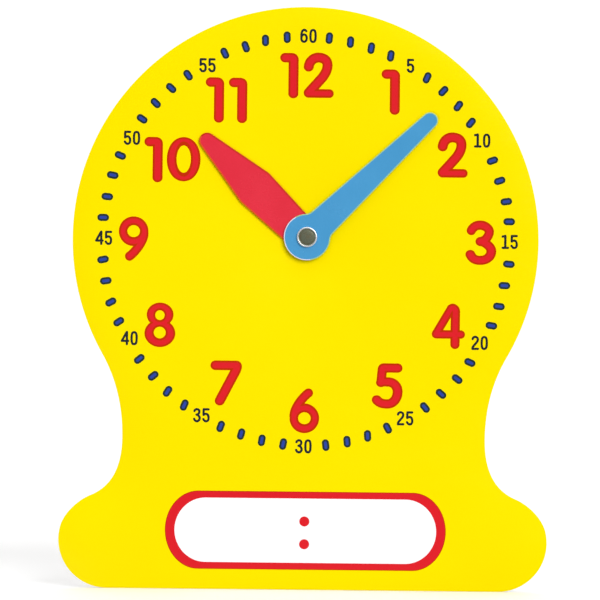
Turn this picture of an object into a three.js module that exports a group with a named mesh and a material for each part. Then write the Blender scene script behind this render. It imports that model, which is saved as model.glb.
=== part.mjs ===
// Demonstration clock: a flat wipe-clean board in the shape of a dial on a broad base, with two hands
// that turn by hand, each on its own, on one tubular rivet.
//
// Frame: millimetres. +X towards 3 o'clock, +Z towards 12 o'clock, the printed face looks along -Y.
// The origin is the middle of the base edge, halfway through the board's thickness, so z = 0 is the base edge.
// Heights along the rivet are given as h, the distance in front of the board's middle plane: y = -h.
import * as THREE from "three";

// ---- driving dimensions (mm, degrees) ----

// Board outline, one half; the other half is its mirror image in x = 0.
const DIAL_R = 139.8; // round dial
const DIAL_Z = 209.9; // its centre above the base edge
const DIAL_END_DEG = 119.65; // where the dial's arc runs into the neck, from 12 o'clock
const NECK_PULL = 17.6; // how far the arc's direction carries on into the neck
const WAIST_HALF = 108.8; // narrowest half width
const WAIST_Z = 90.7;
const WAIST_PULL_UP = 18.5;
const WAIST_PULL_DOWN = 22.6;
const SHOULDER_X = 127.5; // where the neck turns over into the base
const SHOULDER_Z = 55.6;
const SHOULDER_DEG = 22.5; // its slope below the horizontal there
const SHOULDER_PULL_UP = 9.8;
const SHOULDER_PULL_DOWN = 7.8;
const LOBE_PULL = 8.7;
const LOBE_X = 117.33; // centre of the base's round end
const LOBE_R = 29.23;
const LOBE_START_DEG = 75.8;

// Board layers
const CORE_T = 2.4; // rigid white sheet
const FILM_T = 0.3; // printed face and white backing
const HALF_T = CORE_T / 2 + FILM_T;

// Rivet axis: the hole is punched a little right of the board's centre line and above the dial print's centre.
const PIVOT_X = 0.8;
const PIVOT_Z = 211.6;

// Hands, drawn pointing to 12 o'clock with the rivet hole at (0, 0)
const HAND_T = 0.8;
const MINUTE_DEG = 45.9; // position at rest, clockwise from 12
const MINUTE_HUB_R = 13.9;
const MINUTE_ROOT_HALF = 9.72; // half width of the blade, carried back to the rivet axis
const MINUTE_TAPER = 0.0493; // half width lost per mm of length
const MINUTE_TIP_R = 4.85;
const MINUTE_LEN = 106.4; // rivet axis to tip
const MINUTE_FILLET_R = 6;
const HOUR_DEG = -46.1;
const HOUR_END_R = 9.8; // round end behind the rivet, hidden under the minute hand's hub
const HOUR_SHOULDER_T = 43.2; // distance from the rivet axis to the widest place
const HOUR_SHOULDER_HALF = 12.15;
const HOUR_SHOULDER_R = 6;
const HOUR_TIP_R = 4.8;
const HOUR_LEN = 88.1;
const HOUR_OFFSET = -0.72; // the hole sits this far beside the hand's centre line

// Rivet and washers
const POST_R = 3.0; // tubular post
const POST_BORE_R = 2.55;
const RUN = 0.08; // radial running clearance of the hands on the post
const GAP = 0.05; // running gap between stacked pieces
const FACE_WASHER_T = 0.4;
const HAND_WASHER_T = 0.3;
const WASHER_R = 9;
const REAR_WASHER_R = 7.5;
const REAR_WASHER_T = 0.6;
const REAR_CLEAR_R = 8.2; // the backing is cut back round the rear washer
const CAP_R = 6.1; // visible rivet head
const CAP_RIM_R = 5.15; // inside of the bright rim
const CAP_H = 1.25;
const CAP_SHEET = 0.3;
const REAR_CAP_R = 5.6;
const REAR_CAP_H = 1.35;

// Heights of the stack, in front of the board's middle plane
const H_FACE = HALF_T;
const H_FACE_WASHER = H_FACE + 0.02;
const H_HOUR = H_FACE_WASHER + FACE_WASHER_T + GAP;
const H_HAND_WASHER = H_HOUR + HAND_T + GAP;
const H_MINUTE = H_HAND_WASHER + HAND_WASHER_T + GAP;
const H_CAP = H_MINUTE + HAND_T + GAP;
const H_CORE_BACK = -CORE_T / 2;
const H_REAR_WASHER = H_CORE_BACK - 0.02 - REAR_WASHER_T; // its rear face
const H_REAR_CAP = H_REAR_WASHER - 0.03; // the rear cap's lip

const rad = THREE.MathUtils.degToRad;

// ---- shape helpers ----

// A flat piece cut from sheet: shape is drawn in (x, z), and the sheet lies between heights h0 < h1.
// The drawing plane's normal is turned to face -Y by writing each vertex straight into place.
function sheet(shape, h0, h1) {
  const g = new THREE.ExtrudeGeometry(shape, {
    depth: h1 - h0,
    bevelEnabled: false,
    curveSegments: 24,
  });
  const p = g.attributes.position;
  for (let i = 0; i < p.count; i++) {
    const x = p.getX(i),
      z = p.getY(i),
      h = p.getZ(i) > (h1 - h0) / 2 ? h1 : h0;
    p.setXYZ(i, x, -h, z);
  }
  g.computeVertexNormals();
  return g;
}

// A turned piece round the rivet axis: profile is a list of [radius, height], open along the axis or closed on itself.
function turned(profile, segments) {
  const pts = profile.map(([r, h]) => new THREE.Vector2(r, -h));
  const closed = profile[0][0] > 0;
  let area = 0;
  pts.forEach((a, i) => {
    const b = pts[(i + 1) % pts.length];
    area += a.x * b.y - b.x * a.y;
  });
  if (area < 0) pts.reverse();
  if (closed) pts.push(pts[0].clone());
  return new THREE.LatheGeometry(pts, segments);
}

// A circle as points, for a hole.
function circlePath(x, z, r, n) {
  const path = new THREE.Path();
  for (let i = 0; i < n; i++) {
    const a = (-2 * Math.PI * i) / n;
    const px = x + r * Math.sin(a),
      pz = z + r * Math.cos(a);
    if (i) path.lineTo(px, pz);
    else path.moveTo(px, pz);
  }
  path.closePath();
  return path;
}

function shapeOf(points) {
  const clean = points.filter(
    (p, i) =>
      p.distanceTo(points[(i + points.length - 1) % points.length]) > 1e-4,
  );
  return new THREE.Shape(clean);
}

const at = (x, z) => new THREE.Vector2(x, z);

// Points on an arc, angles clockwise from straight up.
function arc(cx, cz, r, from, to, n) {
  return Array.from({ length: n + 1 }, (_, i) => {
    const a = from + ((to - from) * i) / n;
    return at(cx + r * Math.sin(a), cz + r * Math.cos(a));
  });
}

function bezier(p0, d0, p1, d1, n) {
  const curve = new THREE.CubicBezierCurve(
    p0,
    p0.clone().add(d0),
    p1.clone().sub(d1),
    p1,
  );
  return curve.getPoints(n).slice(1);
}

// ---- board outline ----

function boardHalf() {
  const end = rad(DIAL_END_DEG);
  const pts = arc(0, DIAL_Z, DIAL_R, 0, end, 58);
  const along = (a, d) => at(Math.cos(a) * d, -Math.sin(a) * d);
  const neck = pts[pts.length - 1].clone();
  const waist = at(WAIST_HALF, WAIST_Z);
  const shoulder = at(SHOULDER_X, SHOULDER_Z);
  const s = rad(SHOULDER_DEG),
    l = rad(LOBE_START_DEG);
  const lobe = at(
    LOBE_X + LOBE_R * Math.sin(l),
    LOBE_R + LOBE_R * Math.cos(l),
  );
  pts.push(
    ...bezier(neck, along(end, NECK_PULL), waist, at(0, -WAIST_PULL_UP), 9),
  );
  pts.push(
    ...bezier(
      waist,
      at(0, -WAIST_PULL_DOWN),
      shoulder,
      along(s, SHOULDER_PULL_UP),
      12,
    ),
  );
  pts.push(
    ...bezier(
      shoulder,
      along(s, SHOULDER_PULL_DOWN),
      lobe,
      along(l, LOBE_PULL),
      9,
    ),
  );
  pts.push(...arc(LOBE_X, LOBE_R, LOBE_R, l, Math.PI, 20).slice(1));
  pts[pts.length - 1].y = 0;
  return pts;
}

const half = boardHalf();
const outline = [
  ...half,
  ...half
    .slice(1)
    .reverse()
    .map((p) => at(-p.x, p.y)),
];

function boardShape(holeR, n) {
  const shape = shapeOf([...outline].reverse());
  shape.holes.push(circlePath(PIVOT_X, PIVOT_Z, holeR, n));
  return shape;
}

// ---- hand outlines ----

// Replaces the corner at b of the polyline a-b-c with an arc of radius r.
function rounded(a, b, c, r, n) {
  const u = a.clone().sub(b).normalize(),
    v = c.clone().sub(b).normalize();
  const halfAngle = Math.acos(THREE.MathUtils.clamp(u.dot(v), -1, 1)) / 2;
  const cut = r / Math.tan(halfAngle);
  const mid = u.clone().add(v).normalize();
  const centre = b
    .clone()
    .add(mid.multiplyScalar(r / Math.sin(halfAngle)));
  const p0 = b.clone().add(u.multiplyScalar(cut)),
    p1 = b.clone().add(v.multiplyScalar(cut));
  const a0 = Math.atan2(p0.x - centre.x, p0.y - centre.y);
  let a1 = Math.atan2(p1.x - centre.x, p1.y - centre.y);
  if (a1 - a0 > Math.PI) a1 -= 2 * Math.PI;
  if (a0 - a1 > Math.PI) a1 += 2 * Math.PI;
  return arc(centre.x, centre.y, r, a0, a1, n);
}

function minuteOutline() {
  const slope = Math.atan(MINUTE_TAPER);
  const tipC = MINUTE_LEN - MINUTE_TIP_R;
  // right side, from the tip to the hub
  const side = arc(0, tipC, MINUTE_TIP_R, 0, Math.PI / 2 - slope, 10);
  // the fillet circle touches the blade's edge and the hub's circle
  const edge = (t) => MINUTE_ROOT_HALF - MINUTE_TAPER * t;
  const f = MINUTE_FILLET_R,
    reach = MINUTE_HUB_R + f;
  let t = 12;
  for (let k = 0; k < 40; k++) {
    const x = edge(t) + f / Math.cos(slope);
    t = Math.sqrt(Math.max(reach * reach - x * x, 0));
  }
  const cx = edge(t) + f / Math.cos(slope),
    cz = t;
  const hubA = Math.atan2(cx, cz);
  side.push(...arc(cx, cz, f, -Math.PI / 2 - slope, hubA - Math.PI, 8));
  side.push(
    ...arc(0, 0, MINUTE_HUB_R, hubA, Math.PI, 24).slice(1),
  );
  return side;
}

function hourOutline() {
  const slope = Math.atan(
    (HOUR_SHOULDER_HALF - HOUR_END_R) / HOUR_SHOULDER_T,
  );
  const tipC = HOUR_LEN - HOUR_TIP_R;
  const corner = at(HOUR_SHOULDER_HALF, HOUR_SHOULDER_T);
  // where the blade's edge touches the tip circle
  const dx = corner.x,
    dz = tipC - corner.y,
    d = Math.hypot(dx, dz);
  const touch =
    Math.atan2(dx, -dz) - Math.acos(HOUR_TIP_R / d);
  const side = arc(0, tipC, HOUR_TIP_R, 0, touch, 10);
  const last = side[side.length - 1];
  const root = at(
    HOUR_END_R * Math.cos(slope),
    -HOUR_END_R * Math.sin(slope),
  );
  side.push(...rounded(last, corner, root, HOUR_SHOULDER_R, 5));
  side.push(
    ...arc(0, 0, HOUR_END_R, Math.PI / 2 + slope, Math.PI, 16),
  );
  return side;
}

function handShape(side, offset) {
  const all = [
    ...side,
    ...side
      .slice(1, -1)
      .reverse()
      .map((p) => at(-p.x, p.y)),
  ].map((p) => at(p.x + offset, p.y));
  const shape = shapeOf(all.reverse());
  shape.holes.push(circlePath(0, 0, POST_R + RUN, 48));
  return shape;
}

// ---- materials ----

const material = (color, roughness, metalness = 0) =>
  new THREE.MeshStandardMaterial({ color, roughness, metalness });
const white = () => material(0xf2f3f0, 0.5);
const nylon = () => material(0xe9e7de, 0.45);
const metal = () => material(0xb9b6a8, 0.3, 1);

// ---- assembly ----

const clock = new THREE.Group();

function add(group, name, geometry, mat) {
  const mesh = new THREE.Mesh(geometry, mat);
  mesh.name = name;
  group.add(mesh);
  return mesh;
}

// Board: three layers in contact.
add(
  clock,
  "board_core",
  sheet(boardShape(POST_R + 0.25, 32), -CORE_T / 2, CORE_T / 2),
  white(),
);
add(
  clock,
  "face_sheet",
  sheet(boardShape(POST_R + 0.4, 32), CORE_T / 2, HALF_T),
  material(0xfeec02, 0.25),
);
add(
  clock,
  "backing_sheet",
  sheet(boardShape(REAR_CLEAR_R, 40), -HALF_T, -CORE_T / 2),
  white(),
);

// Everything on the rivet axis.
const pivot = new THREE.Group();
pivot.position.set(PIVOT_X, 0, PIVOT_Z);
clock.add(pivot);

const washer = (r, h0, h1) =>
  turned(
    [
      [POST_R + 0.06, h0],
      [r, h0],
      [r, h1],
      [POST_R + 0.06, h1],
    ],
    48,
  );
add(
  pivot,
  "face_washer",
  washer(WASHER_R, H_FACE_WASHER, H_FACE_WASHER + FACE_WASHER_T),
  nylon(),
);
add(
  pivot,
  "hand_spacer_washer",
  washer(WASHER_R, H_HAND_WASHER, H_HAND_WASHER + HAND_WASHER_T),
  nylon(),
);
add(
  pivot,
  "rear_washer",
  washer(REAR_WASHER_R, H_REAR_WASHER, H_REAR_WASHER + REAR_WASHER_T),
  nylon(),
);

// Hands, each in a group turned about the rivet axis.
const hourGroup = new THREE.Group();
hourGroup.rotation.y = rad(HOUR_DEG);
pivot.add(hourGroup);
add(
  hourGroup,
  "hour_hand",
  sheet(handShape(hourOutline(), HOUR_OFFSET), H_HOUR, H_HOUR + HAND_T),
  material(0xe63448, 0.35),
);
const minuteGroup = new THREE.Group();
minuteGroup.rotation.y = rad(MINUTE_DEG);
pivot.add(minuteGroup);
add(
  minuteGroup,
  "minute_hand",
  sheet(handShape(minuteOutline(), 0), H_MINUTE, H_MINUTE + HAND_T),
  material(0x529dcf, 0.35),
);

// Front cap: a pressed shell with a raised rim round a dished centre, its lip curled in over the post's flange.
const capTop = H_CAP + CAP_H;
const flangeBase = H_CAP + 0.33,
  flangeTop = flangeBase + 0.35;
add(
  pivot,
  "rivet_front_cap",
  turned(
    [
      [0, capTop - 0.22],
      [2.6, capTop - 0.26],
      [4.2, capTop - 0.36],
      [CAP_RIM_R - 0.25, capTop - 0.4],
      [CAP_RIM_R, capTop - 0.3],
      [CAP_RIM_R + 0.14, capTop - 0.07],
      [CAP_RIM_R + 0.38, capTop],
      [CAP_R - 0.3, capTop - 0.08],
      [CAP_R - 0.07, capTop - 0.3],
      [CAP_R, capTop - 0.62],
      [CAP_R - 0.1, H_CAP + 0.2],
      [CAP_R - 0.4, H_CAP],
      [4.6, H_CAP],
      [4.6, H_CAP + 0.26],
      [CAP_R - CAP_SHEET - 0.25, H_CAP + 0.26],
      [CAP_R - CAP_SHEET - 0.1, flangeTop + 0.06],
      [3.4, flangeTop + 0.06],
      [3.2, capTop - 0.36 - CAP_SHEET * 0.6],
      [0, capTop - 0.26 - CAP_SHEET * 0.8],
    ],
    56,
  ),
  metal(),
);

// Post: a tube with a flange held in the front cap; its rear end is turned out over the rear socket.
const postEnd = H_REAR_CAP - 0.82;
add(
  pivot,
  "rivet_post",
  turned(
    [
      [POST_BORE_R, flangeTop],
      [5.3, flangeTop],
      [5.3, flangeBase],
      [POST_R, flangeBase],
      [POST_R, postEnd + 0.3],
      [POST_R + 0.35, postEnd + 0.12],
      [POST_R + 0.25, postEnd],
      [POST_BORE_R + 0.2, postEnd],
      [POST_BORE_R, postEnd + 0.3],
    ],
    48,
  ),
  metal(),
);

// Rear socket: the flanged ring that the post is pressed through.
add(
  pivot,
  "rivet_rear_socket",
  turned(
    [
      [POST_R + 0.04, H_REAR_CAP - 0.3],
      [4.7, H_REAR_CAP - 0.3],
      [4.7, H_REAR_CAP - 0.48],
      [POST_R + 0.04, H_REAR_CAP - 0.48],
    ],
    40,
  ),
  metal(),
);

// Rear cap: a plain domed shell, its lip curled in under the socket's flange.
const rearTop = H_REAR_CAP - REAR_CAP_H;
add(
  pivot,
  "rivet_rear_cap",
  turned(
    [
      [0, rearTop],
      [2.4, rearTop + 0.04],
      [4.2, rearTop + 0.2],
      [REAR_CAP_R - 0.35, rearTop + 0.5],
      [REAR_CAP_R, rearTop + 0.95],
      [REAR_CAP_R - 0.1, H_REAR_CAP - 0.12],
      [REAR_CAP_R - 0.35, H_REAR_CAP],
      [4.2, H_REAR_CAP],
      [4.2, H_REAR_CAP - 0.22],
      [4.95, H_REAR_CAP - 0.22],
      [4.95, rearTop + 0.8],
      [4.0, rearTop + 0.45],
      [2.3, rearTop + 0.29],
      [0, rearTop + 0.25],
    ],
    48,
  ),
  metal(),
);

export default clock;
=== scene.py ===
"""A teaching clock: a yellow wipe-clean board in the shape of a dial on a broad base, a red hour hand and a
blue minute hand on one rivet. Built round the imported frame, in metres; lengths in this file are in
millimetres until they go into a mesh. h is a height in front of the board's middle plane, so y = -h.
"""

import math

import bpy
import numpy as np
from mathutils import Matrix, Vector
from mathutils.geometry import delaunay_2d_cdt


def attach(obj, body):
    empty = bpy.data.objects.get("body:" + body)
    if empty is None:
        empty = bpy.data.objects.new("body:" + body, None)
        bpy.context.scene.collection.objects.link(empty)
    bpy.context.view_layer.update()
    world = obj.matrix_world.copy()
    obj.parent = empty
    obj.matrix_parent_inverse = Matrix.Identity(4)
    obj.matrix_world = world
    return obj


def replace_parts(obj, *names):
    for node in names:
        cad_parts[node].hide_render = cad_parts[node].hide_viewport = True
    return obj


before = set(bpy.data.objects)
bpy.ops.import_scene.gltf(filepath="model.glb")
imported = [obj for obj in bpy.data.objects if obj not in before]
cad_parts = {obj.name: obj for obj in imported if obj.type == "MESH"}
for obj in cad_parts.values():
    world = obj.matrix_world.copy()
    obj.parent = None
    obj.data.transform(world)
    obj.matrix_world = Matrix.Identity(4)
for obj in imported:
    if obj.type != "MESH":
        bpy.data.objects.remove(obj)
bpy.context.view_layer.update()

MM = 0.001

# ---------------------------------------------------------------------------
# Dimensions, as in the solids
# ---------------------------------------------------------------------------
PIVOT = (0.8, 211.6)
CORE_HALF = 1.2
FACE = 1.5
H_HOUR, H_MINUTE, HAND_T = 1.97, 3.17, 0.8
H_CAP, CAP_H = 4.02, 1.25
MINUTE_DEG, HOUR_DEG = 45.9, -46.1

# ---------------------------------------------------------------------------
# Flat geometry: loops of (x, z) points, seen from the front with x to the right and z up
# ---------------------------------------------------------------------------


def arc(cx, cz, r, a0, a1, n):
    """Points on an arc; angles in radians, clockwise from straight up."""
    a = np.linspace(a0, a1, n + 1)
    return np.stack([cx + r * np.sin(a), cz + r * np.cos(a)], 1)


def bezier(p0, d0, p1, d1, n):
    p0, p1 = np.array(p0, float), np.array(p1, float)
    c0, c1 = p0 + np.array(d0, float), p1 - np.array(d1, float)
    t = np.linspace(0, 1, n + 1)[1:, None]
    return (1 - t) ** 3 * p0 + 3 * (1 - t) ** 2 * t * c0 + 3 * (1 - t) * t * t * c1 + t**3 * p1


def tidy(loop, gap=1e-3):
    """The loop without repeated points, anticlockwise."""
    keep = [p for i, p in enumerate(loop) if np.hypot(*(p - loop[i - 1])) > gap]
    loop = np.array(keep)
    x, z = loop[:, 0], loop[:, 1]
    area = np.sum(x * np.roll(z, -1) - z * np.roll(x, -1))
    return loop if area > 0 else loop[::-1]


def mirrored(side):
    """A whole outline from its right half, which runs from the top to the bottom."""
    back = side[1:][::-1].copy()
    back[:, 0] *= -1
    return tidy(np.vstack([side, back]))


def board_outline():
    end = math.radians(119.65)
    shoulder_a, lobe_a = math.radians(22.5), math.radians(75.8)

    def along(a, d):
        return (math.cos(a) * d, -math.sin(a) * d)

    dial = arc(0, 209.9, 139.8, 0, end, 150)
    waist, shoulder = (108.8, 90.7), (127.5, 55.6)
    lobe = (117.33 + 29.23 * math.sin(lobe_a), 29.23 + 29.23 * math.cos(lobe_a))
    parts = [
        dial,
        bezier(dial[-1], along(end, 17.6), waist, (0, -18.5), 30),
        bezier(waist, (0, -22.6), shoulder, along(shoulder_a, 9.8), 36),
        bezier(shoulder, along(shoulder_a, 7.8), lobe, along(lobe_a, 8.7), 24),
        arc(117.33, 29.23, 29.23, lobe_a, math.pi, 56)[1:],
    ]
    return mirrored(np.vstack(parts))


def circle(cx, cz, r, n=96):
    return tidy(arc(cx, cz, r, 0, 2 * math.pi, n)[:-1])


def corner_arc(a, b, c, r, n):
    """The corner at b of a-b-c as an arc of radius r."""
    u, v = (a - b) / np.hypot(*(a - b)), (c - b) / np.hypot(*(c - b))
    half = math.acos(max(-1.0, min(1.0, float(u @ v)))) / 2
    mid = (u + v) / np.hypot(*(u + v))
    centre = b + mid * (r / math.sin(half))
    p0, p1 = b + u * (r / math.tan(half)), b + v * (r / math.tan(half))
    a0 = math.atan2(*(p0 - centre))
    a1 = math.atan2(*(p1 - centre))
    if a1 - a0 > math.pi:
        a1 -= 2 * math.pi
    if a0 - a1 > math.pi:
        a1 += 2 * math.pi
    return arc(centre[0], centre[1], r, a0, a1, n)


def minute_outline():
    taper, root, hub, tip, length, f = 0.0493, 9.72, 13.9, 4.85, 106.4, 6.0
    slope = math.atan(taper)
    side = [arc(0, length - tip, tip, 0, math.pi / 2 - slope, 22)]
    t, reach = 12.0, hub + f
    for _ in range(40):
        x = root - taper * t + f / math.cos(slope)
        t = math.sqrt(max(reach * reach - x * x, 0))
    cx, cz = root - taper * t + f / math.cos(slope), t
    hub_a = math.atan2(cx, cz)
    side.append(arc(cx, cz, f, -math.pi / 2 - slope, hub_a - math.pi, 18))
    side.append(arc(0, 0, hub, hub_a, math.pi, 64)[1:])
    return mirrored(np.vstack(side))


def hour_outline():
    end_r, sh_t, sh_half, sh_r, tip, length = 9.8, 43.2, 12.15, 6.0, 4.8, 88.1
    slope = math.atan((sh_half - end_r) / sh_t)
    corner = np.array([sh_half, sh_t])
    tip_c = length - tip
    d = math.hypot(corner[0], tip_c - corner[1])
    touch = math.atan2(corner[0], corner[1] - tip_c) - math.acos(tip / d)
    side = [arc(0, tip_c, tip, 0, touch, 22)]
    root = np.array([end_r * math.cos(slope), -end_r * math.sin(slope)])
    side.append(corner_arc(side[0][-1], corner, root, sh_r, 14))
    side.append(arc(0, 0, end_r, math.pi / 2 + slope, math.pi, 36))
    loop = mirrored(np.vstack(side))
    loop[:, 0] -= 0.72
    return loop


def turned_by(loop, degrees):
    """The loop turned clockwise about the rivet and put on it."""
    a = math.radians(degrees)
    x, z = loop[:, 0], loop[:, 1]
    return np.stack([PIVOT[0] + x * math.cos(a) + z * math.sin(a), PIVOT[1] - x * math.sin(a) + z * math.cos(a)], 1)


def densify(loop, longest):
    """The anticlockwise loop with no edge longer than longest. New points bow out by up to 0.8 micrometres, so that no
    three lie exactly in line."""
    out = []
    for i, p in enumerate(loop):
        q = loop[(i + 1) % len(loop)]
        d = q - p
        length = np.hypot(*d)
        n = max(1, int(math.ceil(length / longest)))
        out += [p + d * (k / n) + np.array([d[1], -d[0]]) / length * 0.0032 * (k / n) * (1 - k / n) for k in range(n)]
    return np.array(out)


def inset(loop, d):
    """The anticlockwise loop moved inwards by d, each corner by its own mitre. d is a number or one for each point."""
    if np.isscalar(d):
        if d == 0:
            return loop.copy()
    else:
        d = np.asarray(d)[:, None]
    e = np.roll(loop, -1, 0) - loop
    e /= np.hypot(e[:, 0], e[:, 1])[:, None]
    n = np.stack([-e[:, 1], e[:, 0]], 1)
    m = n + np.roll(n, 1, 0)
    m /= np.maximum(np.sum(m * n, 1), 0.3)[:, None]
    return loop + m * d


# ---------------------------------------------------------------------------
# Numerals, as pen strokes in units of 0.6 mm
# Each stroke: half width across, half width up, then nodes (x, y, direction in degrees, reach in, reach out).
# Each cut: an elliptical counter (x, y, half width, half height).
# ---------------------------------------------------------------------------
UNIT = 0.6
PRINT_X, PRINT_Z = 0.216, 209.31  # the print's centre on the board


def loop_stroke(cx, cy, rx, ry, hx, hy):
    return [
        (cx + rx, cy, 90, 0, hy),
        (cx, cy + ry, 180, hx, hx),
        (cx - rx, cy, 270, hy, hy),
        (cx, cy - ry, 360, hx, hx),
        (cx + rx, cy, 90, hy, 0),
    ]


HOUR_GLYPHS = {
    "0": ([(4.8, 4.05, loop_stroke(0, 0, 11.8, 17.9, 6.5, 10.4))], [(0.05, 0.1, 7.4, 14.1)]),
    "1": ([(4.8, 4.55, [(-6.6, 17.8, 0, 0, 0), (-0.8, 17.8, 0, 0, 2.8), (1.85, 14.3, -90, 2.5, 0), (1.85, -18.0, -90, 0, 0)])], []),
    "2": (
        [
            (4.8, 4.75, [(-10.4, 8.4, 84, 0, 4.9), (-1.0, 17.5, 0, 4.9, 5.2), (8.35, 9.9, -90, 5.4, 4.8), (3.1, -2.7, -127.6, 4.3, 0), (-10.2, -17.7, -130, 0, 0)]),
            (4.0, 4.1, [(-10.4, -18.35, 0, 0, 0), (10.6, -18.35, 0, 0, 0)]),
        ],
        [],
    ),
    "3": (
        [
            (4.4, 4.45, [(-9.8, 12.4, 62, 0, 3.8), (-0.6, 17.8, 0, 4.6, 4.0), (8.2, 11.2, -90, 3.4, 4.0), (-0.6, 1.4, 180, 4.6, 0)]),
            (4.7, 4.35, [(-0.6, 1.4, 0, 0, 4.2), (10.4, -8.0, -90, 4.2, 5.7), (-0.6, -17.4, 180, 6.4, 4.8), (-10.5, -11.6, 115, 4.8, 0)]),
        ],
        [],
    ),
    "4": (
        [
            (4.2, 4.0, [(12.7, -7.7, 180, 0, 0), (-11.6, -7.7, 180, 0, 0)]),
            (4.0, 4.0, [(-11.9, -7.3, 60, 0, 0), (2.6, 17.6, 60, 0, 0)]),
            (4.4, 4.3, [(3.3, 18.1, 45, 0, 1.8), (7.3, 15.2, -90, 2.7, 0), (7.2, -17.7, -90, 0, 0)]),
        ],
        [],
    ),
    "5": (
        [
            (4.5, 4.4, [(9.6, 17.0, 180, 0, 0), (-4.4, 17.0, 180, 0, 1.3), (-5.9, 14.2, 266, 1.5, 0), (-6.9, 3.2, 266, 0, 0)]),
            (4.75, 4.45, [(-7.0, 2.4, 20, 0, 3.4), (0.0, 3.0, 0, 2.9, 5.5), (9.7, -6.9, -90, 6.0, 6.1), (-0.6, -19.0, 180, 6.4, 4.6), (-11.1, -15.0, 130, 4.2, 0)]),
        ],
        [],
    ),
    "6": (
        [
            (4.1, 4.2, loop_stroke(0.45, -7.3, 10.45, 10.4, 5.7, 5.7)),
            (4.35, 4.35, [(4.3, 18.0, 216, 0, 6.4), (-9.9, -5, -90, 8, 0)]),
        ],
        [(0.5, -7.25, 6.5, 6.2)],
    ),
    "7": ([(4.8, 4.6, [(-10.7, 17.6, 0, 0, 0), (10.0, 17.6, 0, 0, 1.4), (9.6, 12.5, -112, 2.0, 0), (-6.1, -17.8, -116, 0, 0)])], []),
    "8": (
        [
            (4.3, 4.0, loop_stroke(0, 10.5, 8.85, 7.85, 4.6, 4.6)),
            (4.5, 4.0, loop_stroke(-0.05, -8.1, 10.7, 9.65, 5.8, 5.0)),
        ],
        [(-0.2, 10.0, 4.9, 5.1), (-0.2, -7.4, 6.15, 6.05)],
    ),
    "9": (
        [
            (4.1, 4.2, loop_stroke(0.45, 7.9, 10.45, 10.4, 5.8, 5.7)),
            (4.3, 4.4, [(-3.4, -17.1, 37, 0, 6.6), (10.8, 6, 90, 8.4, 0)]),
        ],
        [(0.5, 8.0, 6.5, 6.2)],
    ),
}

W = 0.95
MINUTE_GLYPHS = {
    "0": ([(W, W, loop_stroke(0, 0, 2.55, 5.9, 1.95, 4.3))], []),
    "1": (
        [
            (W, W, [(-2.7, 5.6, 0, 0, 0), (-1.0, 6.0, 40, 0, 0), (0.0, 6.3, 40, 0, 0)]),
            (1.0, W, [(0, 6.2, -90, 0, 0), (0, -5.6, -90, 0, 0)]),
            (W, W, [(-2.6, -5.65, 0, 0, 0), (2.7, -5.65, 0, 0, 0)]),
        ],
        [],
    ),
    "2": (
        [
            (W, W, [(-2.6, 3.7, 86, 0, 1.0), (-0.1, 5.95, 0, 1.4, 1.4), (2.6, 3.3, -90, 1.5, 1.5), (0.3, -0.9, -130, 1.5, 0), (-1.8, -3.4, -130, 0, 1.0), (-2.65, -6.0, -90, 1.0, 0)]),
            (W, W, [(-2.6, -6.05, 0, 0, 0), (2.7, -6.05, 0, 0, 0)]),
        ],
        [],
    ),
    "3": (
        [
            (W, W, [(-2.5, 4.2, 75, 0, 0.9), (0.0, 6.0, 0, 1.3, 1.3), (2.4, 3.7, -90, 1.3, 1.5), (-0.4, 0.6, 180, 1.5, 0)]),
            (W, W, [(-0.4, 0.6, 0, 0, 1.2), (2.75, -2.8, -90, 1.5, 1.7), (0.0, -6.0, 180, 1.6, 1.4), (-2.75, -3.6, 103, 1.2, 0)]),
        ],
        [],
    ),
    "4": (
        [
            (W, W, [(3.2, -2.85, 180, 0, 0), (-3.1, -2.85, 180, 0, 0)]),
            (W, W, [(-3.1, -2.7, 62, 0, 0), (1.7, 6.0, 62, 0, 0)]),
            (W, W, [(1.9, 6.0, -90, 0, 0), (1.9, -6.1, -90, 0, 0)]),
        ],
        [],
    ),
    "5": (
        [
            (W, W, [(2.5, 5.75, 180, 0, 0), (-2.3, 5.75, 180, 0, 0), (-2.4, 0.7, 266, 0, 0)]),
            (W, W, [(-2.4, 0.2, 25, 0, 1.0), (-0.1, 1.2, 0, 1.1, 1.9), (2.65, -2.7, -90, 2.1, 1.9), (0.05, -6.15, 180, 1.9, 1.2), (-2.55, -4.0, 115, 1.2, 0)]),
        ],
        [],
    ),
    "6": (
        [
            (W, W, loop_stroke(0, -2.3, 2.65, 3.6, 1.6, 2.1)),
            (W, W, [(2.15, 4.7, 115, 0, 0.7), (0.2, 6.0, 180, 0.8, 1.5), (-2.65, 1.0, -90, 3.0, 0), (-2.65, -2.3, -90, 0, 0)]),
        ],
        [],
    ),
}

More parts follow.
